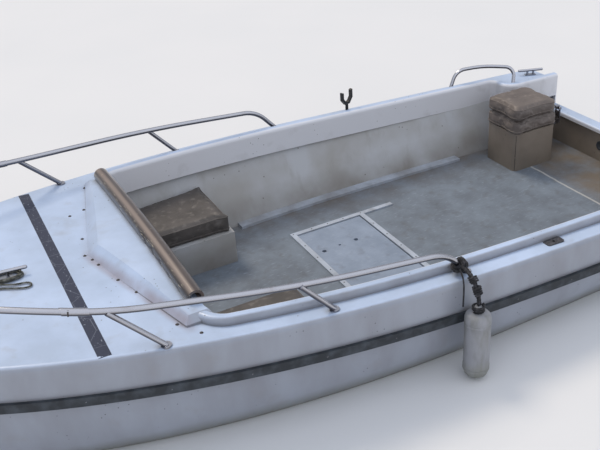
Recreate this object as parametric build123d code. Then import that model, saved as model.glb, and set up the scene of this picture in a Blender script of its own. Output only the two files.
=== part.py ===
"""Open day boat in glass fibre, about four and a half metres long, afloat at rest.

Millimetres. +X forward to the bow, +Y to port, +Z up. The origin is amidships, on the
centreline, on the waterline. Heights of deck fittings are counted from deck level, and their
distances from the side are counted inwards from the deck's outer edge.
"""
from build123d import *
import math
import os

# Hull and deck outline
LENGTH_FORE = 2240          # origin to the deck's foremost point
LENGTH_AFT = 2150           # origin to the transom
WIDEST_X = -440             # station of the greatest beam
HALF_BEAM = 950
STERN_IN = 55               # how far the sides draw in by the transom
SHEER_STERN = 373           # deck height at the transom, amidships and at the bow
SHEER_MID = 451
SHEER_BOW = 600
HULL_WALL = 8
DECK_WALL = 8
SKIRT = 165                 # outer face of the deck moulding, below deck level
FLANGE = 8
FLANGE_INSET = 2
FLANGE_WIDTH = 58
KEEL_DEPTH = 45
KEEL_WIDTH = 44
KEEL_RISE = 60
KEEL_BACK = 740             # its foremost point, back from the bow
KEEL_KNEE = 900
STRAKE_TOP = 148            # top of the rubber, below deck level
STRAKE_HEIGHT = 40
STRAKE_PROUD = 16

# Cockpit
SIDE_DECK = 140             # width from the outer edge to the cockpit
COAMING_HEIGHT = 34
COAMING_WIDTH = 52
LIP = 108                   # inner face of the deck moulding, below deck level
COCKPIT_FORE = 780
COCKPIT_CORNER = 90
QUARTER_LONG = 400          # quarter decks, forward from the transom
QUARTER_WIDE = 255          # and inwards from the side at the transom
QUARTER_ROUND = 80          # plan radius of their forward corners, and where they leave the side
QUARTER_TUCK = 40
DECK_ROUND = 22             # rounding of the deck's edge and of the coaming's top
COAMING_ROUND = 20
FLOOR_Z = 10
FLOOR_THICK = 12
FLOOR_INSET = 250           # floor edge, drawn in from the deck outline
LINER_WALL = 6
LINER_LEAN = 0.405          # sideways for each millimetre up
BULKHEAD_BACK = 790         # back from the bow
TRANSOM_TOP = 216
TRANSOM_DEPTH = 70
CAP_WALL = 6
CAP_LAP = 12
CAP_DROP = 26
CAP_ROUND = 12

# Foredeck panel and the split pipe on the deck's aft edge
PANEL_LONG = 280            # panel's point, forward of the cockpit
PANEL_WING = 95             # and the ends of its slanted sides
PANEL_IN = 145              # panel's ends, in from the deck edge at the cockpit
PANEL_RISE = 45
PANEL_CAMBER = 10560        # radius of the panel's top from side to side
PANEL_TAPER = 50
PIPE_RADIUS = 36
PIPE_BORE = 25
PIPE_SET = 16               # its centre, forward of the deck's aft edge and above the panel
PIPE_PORT_IN = 236          # its ends, in from the deck edge at the cockpit
PIPE_STARBOARD_IN = 186

# Rails: station, in from the deck edge, above deck level; round the bow, back from its point
RAIL_R = 12.5
SIDE_RAIL = ((-280, 62, 2), (-170, 48, 122), (470, 24, 154), (1160, 28, 182))
BOW_RAIL = ((760, 48, 223), (390, 106, 235), (150, 172, 240))
RAIL_JOINT = 1260
SLEEVE = 90
SLEEVE_WALL = 2.5
POST_R = 11
FOOT_R = 21
FOOT_THICK = 5
# foot's station and place in from the edge, and how far forward it reaches the rail
SIDE_POSTS = ((330, 47, 140), (980, 34, 180))
BOW_POST = (640, 96, 190)   # the same, its foot back from the bow
# forward of the transom, in from the deck edge, above deck level
QUARTER_RAIL = ((670, 66, 0), (620, 58, 112), (450, 92, 122), (300, 208, 120), (330, 236, 2))

# Cleats and the rope on the bow cleat
BOW_CLEAT_BACK = 820        # back from the bow
BOW_CLEAT_Y = 20
BOW_CLEAT = 200
STERN_CLEAT_FORE = 90       # forward of the transom
STERN_CLEAT_IN = 105
STERN_CLEAT = 150
CLEAT_BAR = 8
CLEAT_LIFT = 30
HANK_LONG = 200
HANK_WIDE = 185
HANK_HIGH = 19
HANK_ASIDE = 35             # its middle, to port of the cleat

# Rowlocks
ROWLOCK_X = -750
ROWLOCK_IN = 64             # in from the deck edge
ROWLOCK_BORE = 6.5
ROWLOCK_FIT = 0.05
ROWLOCK_DEPTH = 60
SOCKET_PLATE = 4
SOCKET_LONG = 90
SOCKET_WIDE = 44
SOCKET_R = 11
PIN_LONG = 70
STEM_HIGH = 50
COLLAR_R = 13
COLLAR_HIGH = 8
NECK_R = 9
FORK_THICK = 18
FORK_WIDE = 92
FORK_HIGH = 82
HORN = 14
CRUTCH_TURN = 20

# Floor hatch and battens
HATCH_AFT = -530
HATCH_FORE = -130
HATCH_HALF = 400
HATCH_FRAME = 28
HATCH_RUN = 220             # starboard batten that runs on aft
FRAME_RISE = 8
HATCH_GAP = 5
LEDGE = 8
LEDGE_IN = 25
# forward of the hatch's middle, to port, radius
FINGER_HOLES = ((150, -180, 12), (-50, -190, 12), (50, -190, 7))
BATTEN_STERN = 750          # floor edge batten, forward of the transom
BATTEN_FORE = 90
BATTEN_RISE = 16
BATTEN_WIDTH = 45

# Benches and cushions
BENCH_AFT = 245
BENCH_INNER = 350
BENCH_TOP = 190
BENCH_WALL = 8
CUSHION_THICK = 100
CUSHION_GAP = 6
CUSHION_LONG = 905

# Helm seat
SEAT_FORE = 430             # its middle, forward of the transom
SEAT_IN = 485               # its middle, in from the side at the widest beam
SEAT_WIDE = 330
SEAT_DEEP = 360
SEAT_Z = 250
SEAT_THICK = 80
SEAT_GAP = 6
SEAT_ROUND = 55
BACK_THICK = 78
BACK_SET = 12
BOX_IN = 30
BOX_WALL = 8
BOX_ROUND = 30
HINGE_BACK = 12             # hinge axis, aft of the seat
HINGE_PIN = 4
HINGE_FIT = 0.05
HINGE_EYE = 9
HINGE_WIDE = 40
LUG_WIDE = 20
LUG_GAP = 0.3
STRAP = 6
HINGE_SPACING = 198

# Fender and its rope
FENDER_X = -240
FENDER_R = 56
FENDER_GAP = 6
FENDER_TOP = 360
FENDER_LOW = 10
FENDER_NECK = 18
ROPE_R = 7
KNOT_R = 27

FAR = 1500                  # larger than the boat's half beam and height
CLEAR = 0.3                 # gap between pieces on different bodies


def sheer(x):
    """Height of deck level at a station, on a slow curve through the three driving heights."""
    fore = (SHEER_BOW - SHEER_MID) / LENGTH_FORE
    aft = (SHEER_MID - SHEER_STERN) / LENGTH_AFT
    bend = (fore - aft) / (LENGTH_FORE + LENGTH_AFT)
    return SHEER_MID + (fore - bend * LENGTH_FORE) * x + bend * x * x


def pitch(x):
    """Turn about Y that lays a fitting along the deck at a station."""
    return -math.degrees(math.atan2(sheer(x + 1) - sheer(x - 1), 2))


def edge(x):
    """Half breadth of the deck at a station."""
    if x > WIDEST_X:
        along = (x - WIDEST_X) / (LENGTH_FORE - WIDEST_X)
        return HALF_BEAM * math.sqrt(1 - along * along)
    run = LENGTH_AFT + WIDEST_X
    radius = (run * run + STERN_IN * STERN_IN) / (2 * STERN_IN)
    return HALF_BEAM - radius + math.sqrt(radius * radius - (x - WIDEST_X) ** 2)


def at_deck(x, inset, rise, side=1):
    """Point placed from the deck's edge and from deck level."""
    return (x, side * (edge(x) - inset), sheer(x) + rise)


def rail_route():
    """Corners of the port half of the rail, from its aft foot to near the bow."""
    side = [at_deck(*row) for row in SIDE_RAIL]
    bow = [at_deck(LENGTH_FORE - back, inset, rise) for back, inset, rise in BOW_RAIL]
    return side + bow


def outline(nose_in, side_in, stern_x, stern_in=0):
    """Closed plan shape inside the deck's: half an ellipse forward, slow arcs aft."""
    beam = HALF_BEAM - side_in
    stern = beam - STERN_IN - stern_in
    centre = (WIDEST_X, 0)
    bow = EllipticalCenterArc(centre, LENGTH_FORE - nose_in - WIDEST_X, beam, -90, arc_size=180)
    port = TangentArc((WIDEST_X, beam), (stern_x, stern), tangent=(-1, 0))
    transom = Line((stern_x, stern), (stern_x, -stern))
    starboard = TangentArc((WIDEST_X, -beam), (stern_x, -stern), tangent=(-1, 0))
    return make_face([bow, port, transom, starboard])


def plan(inset):
    """Deck outline drawn in all round."""
    return outline(inset, inset, -LENGTH_AFT + inset)


def column(face):
    """A plan shape as tall as the whole boat."""
    return Pos(0, 0, -FAR) * extrude(face, 2 * FAR, dir=(0, 0, 1))


def band(top, bottom):
    """The space between two surfaces that follow the sheer, counted from deck level."""
    x0 = -LENGTH_AFT - SIDE_DECK
    x1 = LENGTH_FORE + SIDE_DECK

    def curve(rise):
        ends = [(x, sheer(x) + rise) for x in (x0, 0, x1)]
        return ThreePointArc(*ends)

    fore = Line((x1, sheer(x1) + top), (x1, sheer(x1) + bottom))
    back = Line((x0, sheer(x0) + bottom), (x0, sheer(x0) + top))
    face = Plane.XZ * make_face([curve(top), fore, curve(bottom), back])
    return extrude(face, FAR, both=True)


def block(x, y, z):
    """A box from three ranges."""
    size = Box(x[1] - x[0], y[1] - y[0], z[1] - z[0])
    return Pos((x[0] + x[1]) / 2, (y[0] + y[1]) / 2, (z[0] + z[1]) / 2) * size


def keep(shape, x=(-2 * FAR, 2 * FAR), y=(-FAR, FAR), z=(-FAR, FAR)):
    """The part of a shape between limits."""
    return shape & block(x, y, z)


def mirrored(shape):
    """The same piece on the other side."""
    return mirror(shape, about=Plane.XZ)


def runs(points):
    """Straight runs joined by arcs as large as each pair of runs allows, with their radii."""
    share = 0.45
    radii = []
    for before, at, after in zip(points, points[1:], points[2:]):
        a = Vector(*at) - Vector(*before)
        b = Vector(*after) - Vector(*at)
        half_turn = math.radians(a.get_angle(b)) / 2
        radii.append(share * min(a.length, b.length) / math.tan(half_turn))
    return FilletPolyline(*points, radius=radii), radii


def tube(points, radius, bore=0):
    """Round bar or tube along a route."""
    path, _ = runs(points)
    start = Plane(origin=path @ 0, z_dir=path % 0)
    solid = sweep(start * Circle(radius), path=path)
    if bore:
        solid -= sweep(start * Circle(bore), path=path)
    return solid


def rod(a, b, radius):
    """Straight round bar between two points."""
    a = Vector(*a)
    b = Vector(*b)
    return extrude(Plane(origin=a, z_dir=b - a) * Circle(radius), (b - a).length)


def across(x, y, z, radius, wide):
    """Round bar along Y, centred on a point."""
    return Pos(x, y, z) * Rotation(90, 0, 0) * Cylinder(radius, wide)


# Waterlines of the hull, from the sheer to the flat of the keel
# z, then drawn in from the deck outline: nose, sides, transom, stern's extra
WATERLINES = (
    (480, 2, 7, 0, 0),
    (200, 55, 25, 4, 2),
    (0, 220, 98, 20, -3),
    (-110, 440, 260, 38, -15),
    (-185, 790, 610, 50, -45),
    (-210, 1090, 890, 55, -45),
)


def hull_form(wall):
    """Body within the waterlines, drawn in by a wall thickness."""
    faces = []
    for z, nose_in, side_in, transom_in, stern_in in WATERLINES:
        lift = wall if z < 0 else 0
        shape = outline(nose_in + wall, side_in + wall, -LENGTH_AFT + transom_in + wall, stern_in)
        faces.append(Pos(0, 0, z + lift) * shape)
    return loft(faces)


def hull():
    """Outer moulding with the flange that the deck is bonded to."""
    shell = (hull_form(0) - hull_form(HULL_WALL)) & band(-SKIRT, -FAR)
    flange = column(plan(FLANGE_INSET)) - column(plan(FLANGE_INSET + FLANGE_WIDTH))
    return shell + (flange & band(-SKIRT, -SKIRT - FLANGE))


def keel():
    """Shallow keel along the centreline, fading out under the bow."""
    low = WATERLINES[-1][0]
    aft = -LENGTH_AFT + WATERLINES[-1][3]
    fore = LENGTH_FORE - KEEL_BACK
    top = low + KEEL_RISE
    side = make_face(Polyline((aft, top), (aft, low - KEEL_DEPTH), (fore - KEEL_KNEE, low - KEEL_DEPTH),
                              (fore, top), close=True))
    return extrude(Plane.XZ * side, KEEL_WIDTH / 2, both=True) - hull_form(0)


def strake():
    """Black rubber round the joint of hull and deck, open across the transom."""
    ring = column(plan(-STRAKE_PROUD)) - column(plan(0))
    ring = ring & band(-STRAKE_TOP, -STRAKE_TOP - STRAKE_HEIGHT)
    return keep(ring, x=(-LENGTH_AFT, 2 * FAR))


def cockpit_plan(grow):
    """Cockpit opening in the deck, open through the transom, grown outwards by a distance."""
    aft = LENGTH_AFT + SIDE_DECK
    fore = COCKPIT_FORE + grow
    face = outline(SIDE_DECK - grow, SIDE_DECK - grow, -aft)
    face &= Pos((fore - aft) / 2, 0) * Rectangle(fore + aft, 2 * FAR)
    front = face.vertices().sort_by(Axis.X)[-2:]
    face = fillet(front, COCKPIT_CORNER + grow)
    corner_x = -LENGTH_AFT + QUARTER_LONG - grow
    corner_y = edge(-LENGTH_AFT) - QUARTER_WIDE + grow
    for side in (1, -1):
        face -= Pos(corner_x - FAR / 2, side * (corner_y + FAR / 2)) * Rectangle(FAR, FAR)
    corners = [v for v in face.vertices() if abs(v.X - corner_x) < 1]
    corners.sort(key=lambda v: abs(v.Y))
    tucks = [(v.X, v.Y) for v in corners[2:]]
    face = fillet(corners[:2], QUARTER_ROUND - grow)
    again = [v for v in face.vertices() if any(math.dist((v.X, v.Y), tuck) < 1 for tuck in tucks)]
    return fillet(again, QUARTER_TUCK + grow)


def crown_z():
    """Height of the axis, far below, that the panel's crowned top turns about."""
    return sheer(COCKPIT_FORE + PANEL_LONG) - DECK_WALL / 2 + PANEL_RISE - PANEL_CAMBER


def panel():
    """Raised panel from a point on the centreline out to the cockpit's corners."""
    point = COCKPIT_FORE + PANEL_LONG
    half = edge(COCKPIT_FORE) - PANEL_IN
    low = sheer(point) - DECK_WALL / 2
    back = COCKPIT_FORE - COCKPIT_CORNER / 2
    wing = COCKPIT_FORE + PANEL_WING
    base = make_face(Polyline((back, -half), (wing, -half), (point, 0), (wing, half), (back, half), close=True))
    drop = sheer(point) - sheer(COCKPIT_FORE) + DECK_WALL
    foot = Pos(0, 0, low - drop) * extrude(base, drop, dir=(0, 0, 1))
    slopes = Pos(0, 0, low) * extrude(base, PANEL_RISE, dir=(0, 0, 1), taper=PANEL_TAPER)
    crown = Pos(point, 0, crown_z()) * Rotation(0, 90, 0) * Cylinder(PANEL_CAMBER, 4 * PANEL_LONG)
    return foot + (slopes & crown)


def upper_edges(shape):
    """Edges round the topmost face that follows the sheer."""
    faces = [f for f in shape.faces() if f.normal_at().Z > 0.9]
    return max(faces, key=lambda f: f.area).edges()


def deck():
    """The whole deck moulding in one, before it is parted at its joints."""
    outer = column(plan(0)) & band(0, -SKIRT)
    outer = fillet(upper_edges(outer), DECK_ROUND)
    inner = column(plan(DECK_WALL)) & band(-DECK_WALL, -2 * SKIRT)
    opening = column(cockpit_plan(0))
    skin = (outer - inner) - opening
    coaming = (column(cockpit_plan(COAMING_WIDTH)) - opening) & band(COAMING_HEIGHT, -DECK_WALL)
    coaming = fillet(upper_edges(coaming), COAMING_ROUND)
    lip = (column(cockpit_plan(DECK_WALL)) - opening) & band(0, -LIP)
    rim = (coaming + lip + (panel() - opening)) & column(plan(0))
    return skin + rim


def liner_form(wall):
    """Space inside the cockpit liner, leaning outwards from the floor."""
    low_z = FLOOR_Z - FLOOR_THICK
    high_z = SHEER_BOW + COAMING_HEIGHT
    low_in = FLOOR_INSET - wall
    high_in = low_in - LINER_LEAN * (high_z - low_z)
    stern = -LENGTH_AFT + TRANSOM_DEPTH - wall
    low = Pos(0, 0, low_z) * outline(low_in, low_in, stern)
    high = Pos(0, 0, high_z) * outline(high_in, high_in, stern - TRANSOM_DEPTH / 2)
    return loft([low, high], ruled=True)


def foot(x, inset, side=1):
    """Round flange on the side deck, cut to the deck's surface."""
    sunk = DECK_WALL / 2
    y = side * (edge(x) - inset)
    return Pos(x, y, sheer(x) + (FOOT_THICK - sunk) / 2) * Cylinder(FOOT_R, FOOT_THICK + sunk)


def posts(side, deck_solid, rail_solid):
    """Raked posts of one side, each with its foot."""
    group = []
    bow_post = (LENGTH_FORE - BOW_POST[0], *BOW_POST[1:])
    for x, inset, reach in (*SIDE_POSTS, bow_post):
        top_x, top_y, top_z = on_rail(x + reach)
        bar = rod(at_deck(x, inset, FOOT_THICK - 2, side), (top_x, side * top_y, top_z), POST_R)
        group.append((bar + foot(x, inset, side)) - deck_solid - rail_solid)
    return Compound(children=group)


def on_rail(x):
    """Point on the rail's runs at a station."""
    route = rail_route()
    for a, b in zip(route, route[1:]):
        if a[0] <= x <= b[0]:
            share = (x - a[0]) / (b[0] - a[0])
            return tuple(p + share * (q - p) for p, q in zip(a, b))
    return route[-1]


def cleat(x, y, long, turned):
    """Horn cleat: a base, two legs and a bar with rounded ends."""
    leg = long * 0.13
    shape = Box(long * 0.45, 26, 8)
    for end in (-1, 1):
        shape += Pos(end * leg, 0, CLEAT_LIFT / 2) * Cylinder(CLEAT_BAR - 1, CLEAT_LIFT)
        shape += Pos(end * long / 2, 0, CLEAT_LIFT) * Sphere(CLEAT_BAR)
    shape += Pos(0, 0, CLEAT_LIFT) * Rotation(0, 90, 0) * Cylinder(CLEAT_BAR, long)
    return Pos(x, y, sheer(x) + 2) * Rotation(0, pitch(x), 0) * Rotation(0, 0, turned) * shape


def rowlock_socket():
    """Plate with a barrel below it, about the pin's axis at deck level."""
    plate = Box(SOCKET_LONG, SOCKET_WIDE, 2 * SOCKET_PLATE)
    plate = fillet(plate.edges().filter_by(Axis.Z), SOCKET_WIDE / 4)
    barrel = Pos(0, 0, SOCKET_PLATE - ROWLOCK_DEPTH / 2) * Cylinder(SOCKET_R, ROWLOCK_DEPTH)
    return (plate + barrel) - Cylinder(ROWLOCK_BORE, 4 * ROWLOCK_DEPTH)


def rowlock_crutch():
    """Horned crutch on its pin, standing on the socket's plate at height zero."""
    pin = ROWLOCK_BORE - ROWLOCK_FIT
    shank = Pos(0, 0, (STEM_HIGH - PIN_LONG) / 2) * Cylinder(pin, STEM_HIGH + PIN_LONG)
    collar = Pos(0, 0, CLEAR + COLLAR_HIGH / 2) * Cylinder(COLLAR_R, COLLAR_HIGH)
    neck = Pos(0, 0, CLEAR + STEM_HIGH / 2) * Cylinder(NECK_R, STEM_HIGH)
    half = FORK_WIDE / 2
    top = STEM_HIGH + FORK_HIGH
    outer = [(0, STEM_HIGH), (half * 0.4, STEM_HIGH), (half, STEM_HIGH + FORK_HIGH * 0.4), (half, top)]
    inner = [(half - HORN, top - HORN / 3), (half - HORN, STEM_HIGH + FORK_HIGH * 0.5),
             (half * 0.3, STEM_HIGH + HORN * 1.3), (0, STEM_HIGH + HORN)]
    side = make_face(Polyline(*outer, *inner, close=True))
    fork = Plane.XZ * (side + mirror(side, about=Plane.YZ))
    return shank + collar + neck + extrude(fork, FORK_THICK / 2, both=True)


def split_pipe():
    """Foam pipe, slit below, pushed over the raised aft edge of the foredeck."""
    side = edge(COCKPIT_FORE)
    port = side - PIPE_PORT_IN
    starboard = -side + PIPE_STARBOARD_IN
    ring = Circle(PIPE_RADIUS) - Circle(PIPE_BORE)
    below = -(PIPE_SET + PIPE_RADIUS) / 2
    tall = PIPE_RADIUS - PIPE_SET
    lip_cut = Pos((PIPE_RADIUS - PIPE_SET) / 2, below) * Rectangle(PIPE_RADIUS + PIPE_SET, tall)
    flat_cut = Pos(0, below) * Rectangle(2 * PIPE_RADIUS, tall)

    axis = Axis((0, 0, crown_z()), (1, 0, 0))
    middle = Plane(origin=(COCKPIT_FORE + PIPE_SET, 0, crown_z() + PANEL_CAMBER + PIPE_SET),
                   x_dir=(1, 0, 0), z_dir=(0, -1, 0))

    def length(section, y_from, y_to):
        start = -math.degrees(math.asin(y_from / PANEL_CAMBER))
        turn = -math.degrees(math.asin(y_to / PANEL_CAMBER)) - start
        return revolve((middle * section).rotate(axis, start), axis, turn)

    return length(ring - lip_cut, port, -port) + length(ring - flat_cut, -port, starboard)


os.makedirs("parts", exist_ok=True)
nodes = {}


def both_sides(name, shape):
    """The port piece and its mirror image to starboard."""
    nodes[name + "_port"] = shape
    nodes[name + "_starboard"] = mirrored(shape)


# Hull, deck and rubbing strake
nodes["hull_shell"] = hull()
nodes["keel"] = keel()
whole_deck = deck()
joint_x = COCKPIT_FORE - COCKPIT_CORNER
quarter_x = -LENGTH_AFT + QUARTER_LONG
nodes["foredeck"] = keep(whole_deck, x=(joint_x, 2 * FAR))
both_sides("side_deck", keep(whole_deck, x=(quarter_x, joint_x), y=(0, FAR)))
both_sides("quarter_deck", keep(whole_deck, x=(-2 * FAR, quarter_x), y=(0, FAR)))
both_sides("strake", keep(strake(), y=(0, FAR)))

# Transom cap between the quarter decks
quarter_y = edge(-LENGTH_AFT) - QUARTER_WIDE
cap_x = (-LENGTH_AFT, -LENGTH_AFT + TRANSOM_DEPTH + CAP_LAP)
cap = block(cap_x, (-quarter_y, quarter_y), (TRANSOM_TOP - CAP_DROP, TRANSOM_TOP))
cap = fillet(cap.edges().filter_by(Axis.Y).group_by(Axis.Z)[-1], CAP_ROUND)
cap -= block((cap_x[0] + CAP_WALL, cap_x[1] - CAP_WALL), (-FAR, FAR), (-FAR, TRANSOM_TOP - CAP_WALL))
nodes["transom_cap"] = cap - nodes["hull_shell"] - whole_deck

# Cockpit liner and floor
bulkhead_x = LENGTH_FORE - BULKHEAD_BACK
cavity = liner_form(0)
lined = liner_form(LINER_WALL)
under_deck = band(-DECK_WALL, -FAR)
floor_z = (FLOOR_Z - FLOOR_THICK, FLOOR_Z)
wall = keep((lined - cavity) & under_deck, z=(FLOOR_Z, FAR)) - whole_deck
corner_x = -LENGTH_AFT + TRANSOM_DEPTH + COAMING_ROUND
both_sides("side_wall", keep(wall, x=(corner_x, bulkhead_x), y=(0, FAR)))
low_transom = block((-2 * FAR, 0), (-quarter_y - DECK_WALL, quarter_y + DECK_WALL), (TRANSOM_TOP - CAP_WALL, FAR))
nodes["transom_wall"] = keep(wall, x=(-2 * FAR, corner_x)) - low_transom - cap - nodes["hull_shell"]
nodes["bulkhead"] = keep(lined & under_deck, x=(bulkhead_x, bulkhead_x + LINER_WALL), z=(floor_z[0], FAR))
hatch_x = (HATCH_AFT, HATCH_FORE)
hatch_y = (-HATCH_HALF, HATCH_HALF)
hatch_hole = block(hatch_x, hatch_y, (-FAR, FAR))
nodes["floor"] = keep(lined, x=(-2 * FAR, bulkhead_x), z=floor_z) - hatch_hole

# Floor hatch: raised frame with a batten that runs on aft, a ledge below, and the cover
frame_x = (HATCH_AFT - HATCH_FRAME, HATCH_FORE + HATCH_FRAME)
frame_y = (-HATCH_HALF - HATCH_FRAME, HATCH_HALF + HATCH_FRAME)
frame_z = (FLOOR_Z, FLOOR_Z + FRAME_RISE)
frame = block(frame_x, frame_y, frame_z)
frame += block((HATCH_AFT - HATCH_RUN, HATCH_AFT), (frame_y[0], hatch_y[0]), frame_z)
nodes["hatch_frame"] = frame - hatch_hole
ledge = block(frame_x, frame_y, (floor_z[0] - LEDGE, floor_z[0]))
nodes["hatch_ledge"] = ledge - block((hatch_x[0] + LEDGE_IN, hatch_x[1] - LEDGE_IN),
                                     (hatch_y[0] + LEDGE_IN, hatch_y[1] - LEDGE_IN), (-FAR, FAR))
cover = block((hatch_x[0] + HATCH_GAP, hatch_x[1] - HATCH_GAP), (hatch_y[0] + HATCH_GAP, hatch_y[1] - HATCH_GAP),
              (floor_z[0] + CLEAR, FLOOR_Z + 2))
for hole_x, hole_y, hole_r in FINGER_HOLES:
    cover -= Pos((HATCH_AFT + HATCH_FORE) / 2 + hole_x, hole_y, 0) * Cylinder(hole_r, 4 * FLOOR_THICK)
nodes["hatch_cover"] = cover

# Battens along the floor's edges
inside = column(outline(FLOOR_INSET + BATTEN_WIDTH, FLOOR_INSET + BATTEN_WIDTH, -LENGTH_AFT))
batten = keep(cavity, x=(-LENGTH_AFT + BATTEN_STERN, BATTEN_FORE), y=(0, FAR), z=(FLOOR_Z, FLOOR_Z + BATTEN_RISE))
both_sides("floor_batten", batten - inside)

# Side benches under the foredeck, with their cushions
bench = keep(cavity, x=(BENCH_AFT, bulkhead_x), y=(BENCH_INNER, FAR), z=(FLOOR_Z, BENCH_TOP))
room = keep(cavity, x=(BENCH_AFT + BENCH_WALL, bulkhead_x), y=(BENCH_INNER + BENCH_WALL, FAR),
            z=(FLOOR_Z, BENCH_TOP - BENCH_WALL))
both_sides("bench", bench - room)
both_sides("cushion", keep(liner_form(-CUSHION_GAP), x=(BENCH_AFT, BENCH_AFT + CUSHION_LONG), y=(BENCH_INNER, FAR),
                           z=(BENCH_TOP + CLEAR, BENCH_TOP + CUSHION_THICK)))

nodes["edge_pipe"] = split_pipe()

# Rails, sleeves, feet and posts
half = rail_route()
route = half + [(x, -y, z) for x, y, z in reversed(half)]
whole_rail = tube(route, RAIL_R)
rail = whole_rail - whole_deck
both_sides("rail", keep(rail, x=(-2 * FAR, RAIL_JOINT), y=(0, FAR)))
nodes["rail_bow"] = keep(rail, x=(RAIL_JOINT, 2 * FAR))
nodes["rail_sleeves"] = keep(tube(route, RAIL_R + SLEEVE_WALL, RAIL_R),
                             x=(RAIL_JOINT - SLEEVE / 2, RAIL_JOINT + SLEEVE / 2))
rail_foot = SIDE_RAIL[0][:2]
nodes["rail_feet"] = Compound(children=[foot(*rail_foot, side) - whole_deck - whole_rail for side in (1, -1)])
nodes["posts_port"] = posts(1, whole_deck, whole_rail)
nodes["posts_starboard"] = posts(-1, whole_deck, whole_rail)

quarter_route = [at_deck(-LENGTH_AFT + x, inset, rise) for x, inset, rise in QUARTER_RAIL]
quarter = tube(quarter_route, POST_R) + foot(quarter_route[0][0], QUARTER_RAIL[0][1])
both_sides("quarter_rail", quarter - whole_deck)

# Cleats, and the rope wound on the bow cleat
bow_x = LENGTH_FORE - BOW_CLEAT_BACK
nodes["bow_cleat"] = cleat(bow_x, BOW_CLEAT_Y, BOW_CLEAT, 0) - whole_deck
hank = extrude(SlotOverall(HANK_LONG, HANK_WIDE), HANK_HIGH, dir=(0, 0, 1))
hank = Pos(bow_x, BOW_CLEAT_Y + HANK_ASIDE, sheer(bow_x) + 2) * Rotation(0, pitch(bow_x), 0) * hank
nodes["bow_rope"] = hank - nodes["bow_cleat"] - whole_deck
stern_x = -LENGTH_AFT + STERN_CLEAT_FORE
stern_y = edge(stern_x) - STERN_CLEAT_IN
nodes["stern_cleats"] = Compound(children=[cleat(stern_x, stern_y, STERN_CLEAT, 20) - whole_deck,
                                           cleat(stern_x, -stern_y, STERN_CLEAT, -20) - whole_deck])

# Rowlock sockets in both side decks, one crutch in the starboard one
rowlock_y = edge(ROWLOCK_X) - ROWLOCK_IN
rowlock_z = sheer(ROWLOCK_X)
for side, name in ((1, "port"), (-1, "starboard")):
    at = Pos(ROWLOCK_X, side * rowlock_y, rowlock_z)
    nodes["side_deck_" + name] -= at * Cylinder(SOCKET_R, 4 * ROWLOCK_DEPTH)
    nodes["rowlock_socket_" + name] = at * rowlock_socket() - nodes["side_deck_" + name]
crutch_at = Pos(ROWLOCK_X, -rowlock_y, rowlock_z + SOCKET_PLATE)
nodes["rowlock_crutch"] = crutch_at * Rotation(0, 0, CRUTCH_TURN) * rowlock_crutch()

# Helm seat: box, seat cushion, and a backrest folded down over it on two hinges
seat_mid = -LENGTH_AFT + SEAT_FORE
seat_x = (seat_mid - SEAT_DEEP / 2, seat_mid + SEAT_DEEP / 2)
seat_mid_y = SEAT_IN - HALF_BEAM
seat_y = (seat_mid_y - SEAT_WIDE / 2, seat_mid_y + SEAT_WIDE / 2)


def upright(inset, z):
    """Block inside the seat's outline."""
    return block((seat_x[0] + inset, seat_x[1] - inset), (seat_y[0] + inset, seat_y[1] - inset), z)


outside = fillet(upright(BOX_IN, (FLOOR_Z, SEAT_Z)).edges().filter_by(Axis.Z), BOX_ROUND)
nodes["seat_box"] = outside - upright(BOX_IN + BOX_WALL, (-FAR, SEAT_Z - BOX_WALL))
cushion = upright(0, (SEAT_Z + CLEAR, SEAT_Z + SEAT_THICK))
nodes["seat_cushion"] = fillet(cushion.edges().filter_by(Axis.Z), SEAT_ROUND)
hinge_z = SEAT_Z + SEAT_THICK
back_z = hinge_z + SEAT_GAP
back = block((seat_x[0] + BACK_SET, seat_x[1]), seat_y, (back_z, back_z + BACK_THICK))
nodes["seat_back"] = fillet(back.edges().filter_by(Axis.Z), SEAT_ROUND)
hinge_x = seat_x[0] - HINGE_BACK
strap_x = (hinge_x - STRAP / 2, hinge_x + STRAP / 2)
strap_low = SEAT_Z - 2 * STRAP
brackets = []
lugs = []
for y in (seat_mid_y - HINGE_SPACING / 2, seat_mid_y + HINGE_SPACING / 2):
    wide = (y - HINGE_WIDE / 2, y + HINGE_WIDE / 2)
    bracket = block(strap_x, wide, (strap_low, hinge_z))
    bracket += block((hinge_x, seat_x[0] + BOX_IN), wide, (strap_low, strap_low + STRAP))
    bracket += across(hinge_x, y, hinge_z, HINGE_EYE, HINGE_WIDE)
    bracket -= Pos(hinge_x, y, hinge_z) * Box(4 * HINGE_EYE, LUG_WIDE + 2 * LUG_GAP, 4 * HINGE_EYE)
    brackets.append(bracket + across(hinge_x, y, hinge_z, HINGE_PIN, HINGE_WIDE))
    narrow = (y - LUG_WIDE / 2, y + LUG_WIDE / 2)
    arm_z = (back_z + STRAP, back_z + 2 * STRAP)
    lug = across(hinge_x, y, hinge_z, HINGE_EYE, LUG_WIDE)
    lug += block(strap_x, narrow, (hinge_z, arm_z[1]))
    lug += block((hinge_x, seat_x[0] + BACK_SET), narrow, arm_z)
    lugs.append(lug - across(hinge_x, y, hinge_z, HINGE_PIN + HINGE_FIT, HINGE_WIDE))
nodes["seat_hinge_brackets"] = Compound(children=brackets)
nodes["seat_hinge_lugs"] = Compound(children=lugs)

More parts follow.
